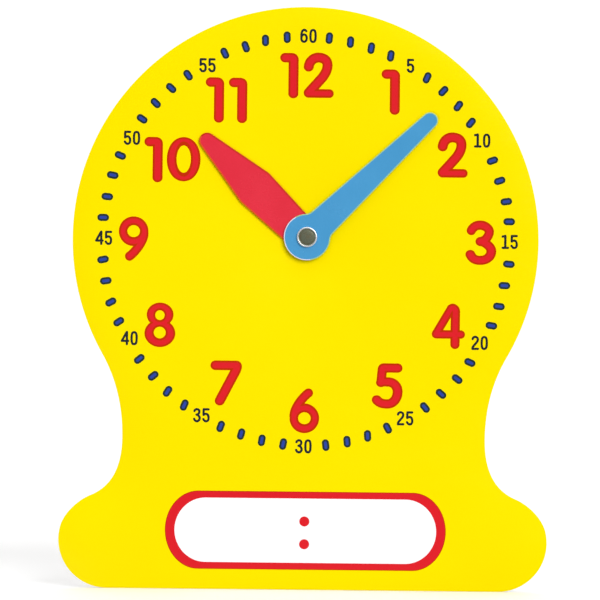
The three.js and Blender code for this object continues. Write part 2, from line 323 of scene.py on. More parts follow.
# Where each digit's centre is, from the print's centre, in units
HOUR_DIGITS = [
    ("1", -16.1, 165.3), ("2", 11.3, 166.0),
    ("1", 85.45, 149.9),
    ("2", 146.1, 87.6),
    ("3", 175.0, -0.1),
    ("4", 142.85, -84.2),
    ("5", 83.5, -143.1),
    ("6", -0.25, -170.0),
    ("7", -78.45, -142.8),
    ("8", -145.1, -85.7),
    ("9", -172.9, 0.05),
    ("1", -151.0, 79.9), ("0", -123.2, 80.5),
    ("1", -90.3, 140.15), ("1", -67.15, 139.95),
]  # fmt: skip
MINUTE_DIGITS = [
    ("6", -4.1, 205.1), ("0", 4.85, 205.05),
    ("5", 102.6, 176.4),
    ("1", 170.65, 102.0), ("0", 179.55, 102.25),
    ("1", 199.3, 0.9), ("5", 208.1, 1.4),
    ("2", 170.3, -100.0), ("0", 179.3, -100.1),
    ("2", 96.5, -176.2), ("5", 105.5, -176.1),
    ("3", -4.9, -205.4), ("0", 4.1, -205.35),
    ("3", -107.2, -175.35), ("5", -98.2, -175.15),
    ("4", -179.95, -98.9), ("0", -170.85, -99.0),
    ("4", -206.65, 1.1), ("5", -197.6, 1.25),
    ("5", -179.6, 101.5), ("0", -170.6, 101.3),
    ("5", -104.85, 174.85), ("5", -95.95, 174.9),
]  # fmt: skip

# Each minute mark: how far its long axis leans clockwise from the radius, in degrees, and how far its centre is
# off its even place, clockwise and outwards, in units
TICKS = {
    1: (0.2, -0.2, 0.2), 2: (-8.0, 0.0, -0.2), 3: (-9.1, 0.3, -0.4), 4: (-15.0, 0.0, -0.4), 6: (-12.4, -0.1, -0.8), 7: (1.3, -0.4, -0.7),
    8: (-12.4, -0.5, -0.5), 9: (-15.1, -0.8, -1.2), 11: (4.1, 0.3, -1.0), 12: (-0.1, 0.5, -1.2), 13: (4.0, 1.0, 0.1), 14: (6.9, -0.1, 0.1),
    16: (-0.8, -0.3, 0.2), 17: (-10.1, 0.3, -0.7), 18: (-11.8, 0.5, -0.3), 19: (-14.6, -0.2, -0.2), 21: (-12.9, -0.2, 0.0), 22: (-5.5, -0.7, 0.7),
    23: (-7.6, -0.2, -0.1), 24: (-3.3, -0.5, 0.6), 26: (-4.1, -0.5, 0.1), 27: (14.6, -0.5, 0.4), 28: (6.2, -0.6, 0.8), 29: (-1.7, -0.4, 1.1),
    31: (5.5, -0.6, 0.3), 32: (-2.2, -0.3, 0.2), 33: (-3.0, -0.1, -0.3), 34: (-3.7, 0.4, 0.1), 36: (-12.8, -0.1, 0.3), 37: (-9.5, 0.1, 0.4),
    38: (3.6, -0.1, -0.2), 39: (-2.8, 0.4, 0.2), 41: (-9.9, 0.3, -0.1), 42: (-10.7, 0.1, 0.5), 43: (3.3, 0.6, 0.1), 44: (-5.8, 0.7, -0.2),
    46: (-4.8, 0.1, 0.2), 47: (-6.2, 0.0, -0.4), 48: (-7.6, 0.8, 0.2), 49: (-2.1, 0.5, 0.4), 51: (-2.5, 0.3, 0.4), 52: (2.2, -0.2, 0.0),
    53: (-5.5, 0.0, -0.1), 54: (0.5, -0.1, -0.5), 56: (-2.2, 0.0, 0.6), 57: (-2.5, 0.5, -0.6), 58: (10.0, -0.1, 0.6), 59: (3.7, 0.4, 0.6),
}  # fmt: skip
TICK_R, TICK_HALF, TICK_W = 204.0, 5.9, 3.6


def stroke_path(nodes):
    pts = [np.array([nodes[0][:2]], float)]
    for a, b in zip(nodes[:-1], nodes[1:]):
        if a[4] == 0 and b[3] == 0:
            pts.append(np.array([b[:2]], float))
            continue
        ta, tb = math.radians(a[2]), math.radians(b[2])
        pts.append(bezier(a[:2], (a[4] * math.cos(ta), a[4] * math.sin(ta)), b[:2], (b[3] * math.cos(tb), b[3] * math.sin(tb)), 20))
    return np.vstack(pts)


def stroke_distance(X, Y, path, stretch):
    """Distance from each grid point to the path, with y scaled by stretch."""
    best = np.full(X.shape, 1e9)
    for (ax, ay), (bx, by) in zip(path[:-1], path[1:]):
        ay, by = ay * stretch, by * stretch
        dx, dy = bx - ax, by - ay
        t = np.clip(((X - ax) * dx + (Y * stretch - ay) * dy) / (dx * dx + dy * dy + 1e-12), 0, 1)
        best = np.minimum(best, (X - ax - t * dx) ** 2 + (Y * stretch - ay - t * dy) ** 2)
    return np.sqrt(best)


SPREAD = 0.25  # how far the ink runs past each stroke, in units
TRAP = 2.1  # width of the darker rim where an ink overlaps the yellow, in units


def glyph_loops(glyph, step, levels):
    """Closed outlines of a glyph's ink at each level, a distance outside its strokes, in units. Ink is on the left."""
    strokes, cuts = glyph
    paths = [(wx, wy, stroke_path(nodes)) for wx, wy, nodes in strokes]
    every = np.vstack([p for _, _, p in paths])
    room = max(max(wx, wy) for wx, wy, _ in paths) + max(levels) * 1.2 + 3 * step
    xs = np.arange(every[:, 0].min() - room, every[:, 0].max() + room + step, step)
    ys = np.arange(every[:, 1].min() - room, every[:, 1].max() + room + step, step)
    X, Y = np.meshgrid(xs, ys)
    f = np.full(X.shape, 1e9)
    for wx, wy, path in paths:
        f = np.minimum(f, stroke_distance(X, Y, path, wx / wy) - wx)
    for cx, cy, rx, ry in cuts:
        q = np.hypot((X - cx) / rx, (Y - cy) / ry)
        f = np.where(q < 1.15, np.minimum(f, (q - 1.15) * min(rx, ry)), f)
        f = np.maximum(f, (1 - q) * min(rx, ry))
    out = []
    for level in levels:
        g = f - level
        g[np.abs(g) < 1e-9] = 1e-9
        out.append([thin(l, 0.004) for l in zero_loops(g, xs, ys)])
    return out


CASES = {
    1: ["BL"], 2: ["RB"], 3: ["RL"], 4: ["TR"], 6: ["TB"], 7: ["TL"], 8: ["LT"], 9: ["BT"], 11: ["RT"],
    12: ["LR"], 13: ["BR"], 14: ["LB"],
}  # fmt: skip


def zero_loops(f, xs, ys):
    """Closed loops where f crosses zero, by marching squares, with f < 0 on the left."""
    inside = f < 0
    code = inside[:-1, :-1] * 1 + inside[:-1, 1:] * 2 + inside[1:, 1:] * 4 + inside[1:, :-1] * 8
    follow, where = {}, {}

    def crossing(side, j, i):
        if side in "BT":
            row = j + (side == "T")
            a, b = f[row, i], f[row, i + 1]
            t = a / (a - b)
            key = ("h", row, i)
            where[key] = (xs[i] + t * (xs[i + 1] - xs[i]), ys[row])
        else:
            col = i + (side == "R")
            a, b = f[j, col], f[j + 1, col]
            t = a / (a - b)
            key = ("v", j, col)
            where[key] = (xs[col], ys[j] + t * (ys[j + 1] - ys[j]))
        return key

    for j, i in zip(*np.nonzero((code > 0) & (code < 15))):
        c = int(code[j, i])
        if c in CASES:
            ways = CASES[c]
        else:
            joined = f[j : j + 2, i : i + 2].mean() < 0
            ways = (["BR", "TL"] if joined else ["BL", "TR"]) if c == 5 else (["LB", "RT"] if joined else ["RB", "LT"])
        for a, b in ways:
            follow[crossing(a, j, i)] = crossing(b, j, i)
    loops = []
    while follow:
        start = key = next(iter(follow))
        line = []
        while key in follow:
            line.append(where[key])
            key = follow.pop(key)
        if key == start and len(line) > 8:
            loops.append(np.array(line))
    return loops


def thin(loop, tolerance):
    """The loop with the points left out that lie within tolerance of a straight line."""
    n = len(loop)
    far = int(np.argmax(np.hypot(*(loop - loop[0]).T)))
    keep = {0, far}
    todo = [(0, far), (far, n)]
    while todo:
        a, b = todo.pop()
        if b - a < 2:
            continue
        p, q = loop[a], loop[b % n]
        d = q - p
        s = loop[a + 1 : b] - p
        L = np.hypot(*d)
        off = np.abs(d[0] * s[:, 1] - d[1] * s[:, 0]) / L if L > 1e-9 else np.hypot(*s.T)
        k = int(np.argmax(off))
        if off[k] > tolerance or b - a > 24:
            k = k if off[k] > tolerance else (b - a) // 2 - 1
            keep.add(a + 1 + k)
            todo += [(a, a + 1 + k), (a + 1 + k, b)]
    return loop[sorted(keep)]


def on_board(loop, x=0.0, y=0.0):
    """A loop in units, shifted by x, y units, in board millimetres."""
    return np.stack([PRINT_X + (loop[:, 0] + x) * UNIT, PRINT_Z + (loop[:, 1] + y) * UNIT], 1)


def slab_loop(cx, cy, a, b, ex, n=40):
    """A bar of half width a and half height b with elliptical ends of depth ex."""
    t = np.linspace(-math.pi / 2, math.pi / 2, n + 1)
    right = np.stack([cx + a - ex + ex * np.cos(t), cy + b * np.sin(t)], 1)
    left = np.stack([cx - (a - ex) - ex * np.cos(t), cy - b * np.sin(t)], 1)
    return densify(np.vstack([right, left]), 12.0)


def ink_shapes():
    """Each printed shape: (list of loops in board mm, ink name), in printing order."""
    shapes = []
    shapes.append(([on_board(slab_loop(2.35, -289.75, 140.45, 39.1, 33.4))], "red_rim"))
    shapes.append(([on_board(slab_loop(2.35, -289.75, 139.7, 38.35, 33.0))], "red"))
    shapes.append(([on_board(slab_loop(2.35, -289.75, 130.85, 32.15, 31.0))], "panel"))
    for y in (-280.5, -303.25):
        shapes.append(([on_board(circle(1.3, y, 5.05, 40))], "red"))
    big = {k: glyph_loops(g, 0.2, (SPREAD, SPREAD - TRAP)) for k, g in HOUR_GLYPHS.items()}
    small = {k: glyph_loops(g, 0.08, (0.24,)) for k, g in MINUTE_GLYPHS.items()}
    for name, x, y in HOUR_DIGITS:
        for loops, ink_name in zip(big[name], ("red_rim", "red")):
            shapes.append(([on_board(l, x, y) for l in loops], ink_name))
    for name, x, y in MINUTE_DIGITS:
        shapes.append(([on_board(l, x, y) for l in small[name][0]], "navy_fine"))
    for minute, (lean, across, out) in TICKS.items():
        a, b = math.radians(6 * minute), math.radians(6 * minute + lean)
        u = np.array([math.sin(b), math.cos(b)])
        c = np.array([math.sin(a), math.cos(a)]) * (TICK_R + out) + np.array([math.cos(a), -math.sin(a)]) * across
        reach = TICK_HALF - TICK_W
        e0, e1 = c - u * reach, c + u * reach
        for r, ink_name in ((TICK_W, "navy_rim"), (TICK_W - TRAP, "navy")):
            caps = [arc(e1[0], e1[1], r, b - math.pi / 2, b + math.pi / 2, 16), arc(e0[0], e0[1], r, b + math.pi / 2, b + 1.5 * math.pi, 16)]
            shapes.append(([on_board(tidy(np.vstack(caps)))], ink_name))
    return shapes


# ---------------------------------------------------------------------------
# Meshes
# ---------------------------------------------------------------------------


def inside(points, loops):
    """True for each point that lies within an odd number of the loops."""
    hit = np.zeros(len(points), bool)
    px, pz = points[:, 0][:, None], points[:, 1][:, None]
    for l in loops:
        x0, z0 = l[:, 0], l[:, 1]
        x1, z1 = np.roll(x0, -1), np.roll(z0, -1)
        cross = (z0 > pz) != (z1 > pz)
        with np.errstate(divide="ignore", invalid="ignore"):
            at = (x1 - x0) * (pz - z0) / (z1 - z0) + x0
        hit ^= (np.sum(cross & (px < at), 1) % 2).astype(bool)
    return hit


def fill(loops, extra=()):
    """Triangles that fill the first loop less the others, anticlockwise. extra are further loops that edges follow.
    Returns the triangles over one list of points: all the points of loops, of extra, then any new ones."""
    pts, edges = [], []
    for l in [*loops, *extra]:
        base = len(pts)
        pts += [Vector(p) for p in l]
        edges += [(base + i, base + (i + 1) % len(l)) for i in range(len(l))]
    out, _, tris, back, _, _ = delaunay_2d_cdt(pts, edges, [], 1, 1e-7)
    index = [b[0] if b else -1 for b in back]
    flat = [tuple(p) for p in pts]
    for k, i in enumerate(index):
        if i < 0:
            index[k] = len(flat)
            flat.append(tuple(out[k]))
    tris = np.array([[index[v] for v in t] for t in tris])
    flat = np.array(flat)
    mid = flat[tris].mean(1)
    keep = ~inside(mid, loops[1:])
    tris, mid = tris[keep], mid[keep]
    a, b, c = flat[tris[:, 0]], flat[tris[:, 1]], flat[tris[:, 2]]
    turn = (b[:, 0] - a[:, 0]) * (c[:, 1] - a[:, 1]) - (b[:, 1] - a[:, 1]) * (c[:, 0] - a[:, 0])
    tris[turn < 0] = tris[turn < 0][:, ::-1]
    good = np.abs(turn) > 1e-10
    return flat, tris[good], mid[good]


def make(name, verts, faces, mats, slots=None, smooth=None):
    mesh = bpy.data.meshes.new(name)
    mesh.from_pydata([tuple(v) for v in verts], [], [tuple(int(i) for i in f) for f in faces])
    for m in mats:
        mesh.materials.append(m)
    if slots is not None:
        mesh.polygons.foreach_set("material_index", np.array(slots, np.int32))
    mesh.polygons.foreach_set("use_smooth", np.array(smooth if smooth is not None else [True] * len(mesh.polygons), bool))
    mesh.update()
    obj = bpy.data.objects.new(name, mesh)
    bpy.context.scene.collection.objects.link(obj)
    return obj


def plate(name, outer, holes, rings, mats, side_slots, cap_slots=(0, 0), inks=None, sharp=40):
    """A flat piece with worked edges. rings is a list of (inset, h) from the front face to the back face, or of
    (inset for each point of the outer loop, h, inset of the holes). side_slots has the slot of each band between
    rings, or a list with the slot of each edge of the outer loop and last that of the holes. inks gives (loops, slot) of printed shapes on the front face."""
    outline = [outer, *holes]
    verts, starts = [], []
    for d, h, *hole_d in rings:
        row = []
        for k, loop in enumerate(outline):
            moved = inset(loop, d) if k == 0 else inset(loop, -(hole_d[0] if hole_d else d))
            row.append(len(verts))
            verts += [(x * MM, -h * MM, z * MM) for x, z in moved]
        starts.append(row)
    faces, slots, smooth = [], [], []
    for r in range(len(rings) - 1):
        for k, loop in enumerate(outline):
            n, a, b = len(loop), starts[r][k], starts[r + 1][k]
            for i in range(n):
                j = (i + 1) % n
                quad = (a + i, b + i, b + j, a + j) if k == 0 else (a + i, a + j, b + j, b + i)
                faces.append(quad)
                slot = side_slots[r]
                if not np.isscalar(slot):
                    slot = int(slot[i]) if k == 0 else int(slot[-1])
                slots.append(slot)
                smooth.append(True)
    for which, r in ((0, 0), (1, len(rings) - 1)):
        d, h, *hole_d = rings[r]
        loops = [inset(l, d if k == 0 else -(hole_d[0] if hole_d else d)) for k, l in enumerate(outline)]
        extra = [l for shape, _ in inks for l in shape] if inks and which == 0 else []
        flat, tris, mid = fill(loops, extra)
        index = {}
        count = 0
        for k, loop in enumerate(outline):
            for i in range(len(loop)):
                index[count] = starts[r][k] + i
                count += 1
        for i in np.unique(tris):
            i = int(i)
            if i not in index:
                index[i] = len(verts)
                verts.append((flat[i][0] * MM, -h * MM, flat[i][1] * MM))
        slot_of = np.full(len(tris), cap_slots[which], int)
        if inks and which == 0:
            for shape, slot in inks:
                every = np.vstack(shape)
                lo, hi = every.min(0), every.max(0)
                near = np.nonzero(np.all((mid > lo) & (mid < hi), 1))[0]
                got = inside(mid[near], shape)
                slot_of[near[got]] = slot
        for t, s in zip(tris, slot_of):
            a, b, c = (index[int(i)] for i in t)
            faces.append((a, b, c) if which == 0 else (c, b, a))
            slots.append(int(s))
            smooth.append(False)
    obj = make(name, verts, faces, mats, slots, smooth)
    obj.data.set_sharp_from_angle(angle=math.radians(sharp))
    return obj


def softened(profile, steps=5):
    """A profile with each run of points marked soft turned into a smooth curve through them.
    Points are (r, h) or (r, h, "soft")."""
    out = []
    n = len(profile)
    for i, p in enumerate(profile):
        out.append((p[0], p[1]))
        if i + 1 < n and len(p) > 2 and len(profile[i + 1]) > 2:
            p1, p2 = np.array(p[:2], float), np.array(profile[i + 1][:2], float)
            p0 = np.array(profile[i - 1][:2], float) if i > 0 and len(profile[i - 1]) > 2 else p1 * 2 - p2
            p3 = np.array(profile[i + 2][:2], float) if i + 2 < n and len(profile[i + 2]) > 2 else p2 * 2 - p1
            for s in range(1, steps):
                t = s / steps
                q = 0.5 * (2 * p1 + (p2 - p0) * t + (2 * p0 - 5 * p1 + 4 * p2 - p3) * t * t + (3 * p1 - p0 - 3 * p2 + p3) * t**3)
                out.append((float(q[0]), float(q[1])))
    return out


def lathe(name, profile, mats, slot_of=None, n=160, sharp=35):
    """A turned piece on the rivet's axis from a closed profile of (r, h) points; the first and last may lie on the axis."""
    pts = list(profile)
    on_axis = [abs(r) < 1e-9 for r, _ in pts]
    area = 0.0
    for (r0, h0), (r1, h1) in zip(pts, pts[1:] + pts[:1]):
        area += r0 * h1 - r1 * h0
    verts, rows = [], []
    for (r, h), axis in zip(pts, on_axis):
        if axis:
            rows.append([len(verts)])
            verts.append((PIVOT[0] * MM, -h * MM, PIVOT[1] * MM))
        else:
            rows.append(list(range(len(verts), len(verts) + n)))
            for k in range(n):
                a = 2 * math.pi * k / n
                verts.append(((PIVOT[0] + r * math.sin(a)) * MM, -h * MM, (PIVOT[1] + r * math.cos(a)) * MM))
    faces, slots = [], []
    closed = not any(on_axis)
    count = len(pts) if closed else len(pts) - 1
    for i in range(count):
        a, b = rows[i], rows[(i + 1) % len(pts)]
        for k in range(n):
            j = (k + 1) % n
            if len(a) == 1 and len(b) == 1:
                continue
            if len(a) == 1:
                face = (a[0], b[j], b[k])
            elif len(b) == 1:
                face = (a[k], a[j], b[0])
            else:
                face = (a[k], a[j], b[j], b[k])
            faces.append(face if area < 0 else face[::-1])
            slots.append(slot_of(pts[i], pts[(i + 1) % len(pts)]) if slot_of else 0)
    obj = make(name, verts, faces, mats, slots)
    obj.data.set_sharp_from_angle(angle=math.radians(sharp))
    return obj


# ---------------------------------------------------------------------------
# Materials
# ---------------------------------------------------------------------------


def linear(r, g, b):
    """A colour given as 0-255 display values."""
    return tuple((c / 255 / 12.92) if c <= 10.3 else ((c / 255 + 0.055) / 1.055) ** 2.4 for c in (r, g, b)) + (1.0,)


class Finish:
    """A Principled material and short ways to add the nodes that pattern it."""

    def __init__(self, name, roughness=0.5, metallic=0.0, **fixed):
        self.mat = bpy.data.materials.new(name)
        self.mat.use_nodes = True
        self.tree = self.mat.node_tree
        self.bsdf = next(n for n in self.tree.nodes if n.type == "BSDF_PRINCIPLED")
        self.bsdf.inputs["Roughness"].default_value = roughness
        self.bsdf.inputs["Metallic"].default_value = metallic
        for key, value in fixed.items():
            self.bsdf.inputs[key.replace("_", " ")].default_value = value
        self.place = self.tree.nodes.new("ShaderNodeTexCoord").outputs["Object"]
        self.normal = None

    def link(self, a, b):
        self.tree.links.new(a, b)

    def put(self, socket, value):
        if isinstance(value, bpy.types.NodeSocket):
            self.link(value, socket)
        else:
            socket.default_value = value

    def moved(self, scale=(1, 1, 1), shift=(0, 0, 0), turn=(0, 0, 0)):
        n = self.tree.nodes.new("ShaderNodeMapping")
        self.link(self.place, n.inputs["Vector"])
        n.inputs["Location"].default_value = shift
        n.inputs["Rotation"].default_value = turn
        n.inputs["Scale"].default_value = scale
        return n.outputs["Vector"]

    def noise(self, scale, detail=3.0, rough=0.5, stretch=None, shift=(0, 0, 0), turn=(0, 0, 0), warp=0.0):
        n = self.tree.nodes.new("ShaderNodeTexNoise")
        self.link(self.moved(stretch or (1, 1, 1), shift, turn), n.inputs["Vector"])
        n.inputs["Scale"].default_value = scale
        n.inputs["Detail"].default_value = detail
        n.inputs["Roughness"].default_value = rough
        n.inputs["Distortion"].default_value = warp
        return n.outputs["Fac"]

    def cells(self, scale, stretch=None, feature="F1", turn=(0, 0, 0)):
        n = self.tree.nodes.new("ShaderNodeTexVoronoi")
        n.feature = feature
        self.link(self.moved(stretch or (1, 1, 1), turn=turn), n.inputs["Vector"])
        n.inputs["Scale"].default_value = scale
        return n.outputs["Distance"]

    def span(self, value, a, b, lo=0.0, hi=1.0, soft=True):
        n = self.tree.nodes.new("ShaderNodeMapRange")
        n.interpolation_type = "SMOOTHSTEP" if soft else "LINEAR"
        self.put(n.inputs["Value"], value)
        n.inputs["From Min"].default_value = a
        n.inputs["From Max"].default_value = b
        n.inputs["To Min"].default_value = lo
        n.inputs["To Max"].default_value = hi
        return n.outputs["Result"]

    def math(self, op, a, b=0.0, clamp=False):
        n = self.tree.nodes.new("ShaderNodeMath")
        n.operation = op
        n.use_clamp = clamp
        self.put(n.inputs[0], a)
        self.put(n.inputs[1], b)
        return n.outputs[0]

    def mix(self, factor, a, b, kind="MIX"):
        n = self.tree.nodes.new("ShaderNodeMix")
        n.data_type = "RGBA"
        n.blend_type = kind
        self.put(n.inputs["Factor"], factor)
        self.put(n.inputs[6], a)
        self.put(n.inputs[7], b)
        return n.outputs[2]

    def axis(self, name):
        n = self.tree.nodes.new("ShaderNodeSeparateXYZ")
        self.link(self.place, n.inputs[0])
        return n.outputs[name]

    def from_rivet(self):
        """(distance from the rivet's axis, angle round it), in metres and radians."""
        x = self.math("SUBTRACT", self.axis("X"), PIVOT[0] * MM)
        z = self.math("SUBTRACT", self.axis("Z"), PIVOT[1] * MM)
        r = self.math("SQRT", self.math("ADD", self.math("MULTIPLY", x, x), self.math("MULTIPLY", z, z)))
        return r, self.math("ARCTAN2", x, z)

    def bump(self, height, distance, strength=1.0):
        n = self.tree.nodes.new("ShaderNodeBump")
        n.inputs["Strength"].default_value = strength
        n.inputs["Distance"].default_value = distance
        self.link(height, n.inputs["Height"])
        if self.normal is not None:
            self.link(self.normal, n.inputs["Normal"])
        self.normal = n.outputs["Normal"]
        self.put(self.bsdf.inputs["Normal"], self.normal)

    def color(self, value):
        self.put(self.bsdf.inputs["Base Color"], value)

    def roughness(self, value):
        self.put(self.bsdf.inputs["Roughness"], value)


def wipe_film(f, base, spread=0.04):
    """The gloss of the wiped face film: fine orange peel, wiping marks and hairline scratches."""
    wiped = f.noise(14, 5, 0.6, stretch=(1.0, 1.0, 3.2), turn=(0, 0.5, 0), warp=0.4)
    fine = f.noise(420, 3, 0.6)
    hair_a = f.span(f.cells(60, stretch=(0.12, 1, 2.4), feature="DISTANCE_TO_EDGE", turn=(0, 0.9, 0)), 0.0, 0.012, 1, 0)
    hair_b = f.span(f.cells(45, stretch=(0.1, 1, 2.0), feature="DISTANCE_TO_EDGE", turn=(0, -0.5, 0)), 0.0, 0.01, 1, 0)
    patchy = f.span(f.noise(22, 4, 0.6, shift=(3, 1, 2)), 0.5, 0.66)
    hair = f.math("MULTIPLY", f.math("MAXIMUM", hair_a, hair_b), patchy)
    rough = f.math("ADD", f.span(wiped, 0.3, 0.7, base - spread / 2, base + spread), f.span(fine, 0.3, 0.7, -0.012, 0.012))
    rough = f.math("ADD", rough, f.math("MULTIPLY", hair, 0.08))
    f.roughness(rough)
    f.bsdf.inputs["Specular IOR Level"].default_value = 0.18
    f.bump(f.noise(310, 2, 0.45), 0.000006)
    f.bump(hair, 0.0000022)


def ink(name, a, b, base=0.17):
    """A printed colour under the film: a and b are its lighter and its fuller tone."""
    f = Finish(name, base)
    broad = f.span(f.noise(11, 4, 0.55, shift=(0.3, 0.1, 0.7)), 0.32, 0.68)
    mottle = f.span(f.noise(760, 2, 0.6), 0.3, 0.7)
    tone = f.mix(f.math("ADD", f.math("MULTIPLY", broad, 0.6), f.math("MULTIPLY", mottle, 0.4)), a, b)
    f.color(tone)
    wipe_film(f, base)
    return f.mat


YELLOW = ink("face_yellow", linear(255, 231, 0), linear(254, 228, 0))
RED_INK = ink("print_red", linear(226, 38, 46), linear(221, 34, 42))
RED_RIM = ink("print_red_rim", linear(198, 50, 12), linear(190, 44, 8))
NAVY_INK = ink("print_navy", linear(54, 76, 168), linear(47, 68, 158))
NAVY_RIM = ink("print_navy_rim", linear(44, 60, 56), linear(36, 52, 48))
NAVY_FINE = ink("print_navy_fine", linear(44, 49, 52), linear(36, 41, 44))
PANEL = ink("print_white", linear(255, 255, 255), linear(252, 252, 253))


def film_edge():
    f = Finish("film_edge", 0.42)
    layer = f.noise(900, 2, 0.5, stretch=(1, 6, 1))
    f.color(f.mix(f.span(layer, 0.35, 0.65), linear(244, 240, 214), linear(226, 214, 120)))
    f.roughness(f.span(f.noise(500, 3), 0.3, 0.7, 0.34, 0.5))
    f.bump(f.noise(1500, 2, 0.6), 0.00002)
    return f.mat


def board_edge():
    """Cut edge of the white sheet: router marks across the thickness and the sheet's closed fine cells."""
    f = Finish("board_white", 0.55)
    marks = f.noise(1100, 3, 0.55, stretch=(1, 0.04, 1))
    cells = f.span(f.cells(2600), 0.1, 0.5)
    grey = f.span(f.noise(35, 4, 0.6), 0.42, 0.75)
    tone = f.mix(grey, linear(221, 221, 217), linear(207, 206, 199))
    f.color(f.mix(f.math("MULTIPLY", cells, 0.25), tone, linear(194, 194, 188)))
    f.roughness(f.span(marks, 0.3, 0.7, 0.46, 0.66))
    f.bump(marks, 0.00005)
    f.bump(cells, 0.00002)
    return f.mat


def backing():
    """White backing film: satin, with faint rubs from lying on tables."""
    f = Finish("backing_white", 0.38)
    cloud = f.noise(9, 5, 0.6, warp=0.5)
    rub = f.span(f.noise(16, 6, 0.65, stretch=(2.6, 1, 0.5), turn=(0, 0.6, 0)), 0.56, 0.78)
    tone = f.mix(f.span(cloud, 0.35, 0.7), linear(243, 243, 241), linear(239, 239, 237))
    tone = f.mix(f.math("MULTIPLY", rub, 0.2), tone, linear(216, 216, 213))
    f.color(tone)
    hair = f.span(f.cells(40, stretch=(0.12, 1, 2.2), feature="DISTANCE_TO_EDGE", turn=(0, 0.7, 0)), 0.0, 0.012, 1, 0)
    hair = f.math("MULTIPLY", hair, f.span(f.noise(18, 3, shift=(1, 0, 4)), 0.52, 0.66))
    f.roughness(f.math("ADD", f.span(cloud, 0.3, 0.7, 0.32, 0.44), f.math("MULTIPLY", hair, 0.15)))
    f.bump(f.noise(900, 2, 0.5), 0.000012)
    f.bump(hair, 0.000003)
    return f.mat


def hand_top(name, a, b, seed):
    """Printed top of a hand: even satin colour, fine grain and short handling scuffs."""
    f = Finish(name, 0.32)
    broad = f.span(f.noise(28, 4, 0.55, shift=seed), 0.32, 0.68)
    grain = f.span(f.noise(1300, 2, 0.6, shift=seed), 0.3, 0.7)
    tone = f.mix(f.math("ADD", f.math("MULTIPLY", broad, 0.65), f.math("MULTIPLY", grain, 0.35)), a, b)
    scuff = f.span(f.cells(95, stretch=(0.2, 1, 2.0), feature="DISTANCE_TO_EDGE", turn=(0, 0.4 + seed[0], 0)), 0.0, 0.016, 1, 0)
    scuff = f.math("MULTIPLY", scuff, f.span(f.noise(45, 3, shift=(seed[1], 2, 1)), 0.55, 0.68))
    f.color(tone)
    f.roughness(f.math("ADD", f.span(f.noise(36, 5, 0.6, shift=seed), 0.3, 0.7, 0.22, 0.3), f.math("MULTIPLY", scuff, 0.04)))
    f.bump(f.noise(520, 2, 0.5), 0.000006)
    f.bump(scuff, 0.0000006)
    return f.mat


def hand_edge(name, a, b):
    """Cut edge of a hand's plastic sheet, with drag lines along the cut."""
    f = Finish(name, 0.4)
    drag = f.noise(900, 3, 0.5, stretch=(1, 7, 1))
    f.color(f.mix(f.span(drag, 0.35, 0.65), a, b))
    f.roughness(f.span(drag, 0.3, 0.7, 0.32, 0.48))
    f.bsdf.inputs["Specular IOR Level"].default_value = 0.22
    f.bump(drag, 0.000015)
    return f.mat


RED_TOP = hand_top("hand_red", linear(231, 50, 69), linear(224, 45, 63), (0.0, 0.4, 0.2))
BLUE_TOP = hand_top("hand_blue", linear(78, 158, 209), linear(71, 151, 202), (0.9, 1.4, 0.1))
RED_EDGE = hand_edge("hand_red_edge", linear(206, 40, 52), linear(178, 30, 42))
BLUE_EDGE = hand_edge("hand_blue_edge", linear(150, 190, 206), linear(118, 168, 192))
RED_BURR = hand_edge("hand_red_rim", linear(198, 44, 6), linear(188, 38, 3))
# Painted reflected light: the minute hand's rim is pale like a cut edge and green from yellow light bounced off the
# face.
BLUE_RIM_PAINTED_BOUNCE = hand_edge("hand_blue_rim_painted_bounce", linear(164, 206, 150), linear(152, 196, 142))
WHITE_RIM = hand_edge("hand_blue_bare", linear(236, 230, 240), linear(214, 212, 228))
# Painted shade: an orange band along the hour hand's lower-left edge, where its shadow falls, coloured like that
# shadow.
RED_PAINTED_SHADE_BAND = hand_edge("hand_red_painted_shade", linear(228, 92, 22), linear(220, 82, 18))


def nylon():
    f = Finish("washer_nylon", 0.42, Subsurface_Weight=0.15)
    f.bsdf.inputs["Subsurface Radius"].default_value = (0.002, 0.002, 0.0018)
    f.bsdf.inputs["Subsurface Scale"].default_value = 0.4
    cloud = f.noise(260, 4, 0.55)
    f.color(f.mix(f.span(cloud, 0.3, 0.7), linear(238, 236, 226), linear(224, 221, 208)))
    r, _ = f.from_rivet()
    rings = f.math("SINE", f.math("MULTIPLY", r, 21000.0))
    f.roughness(f.span(cloud, 0.3, 0.7, 0.36, 0.5))
    f.bump(f.math("MULTIPLY", rings, 0.5), 0.000004)
    return f.mat


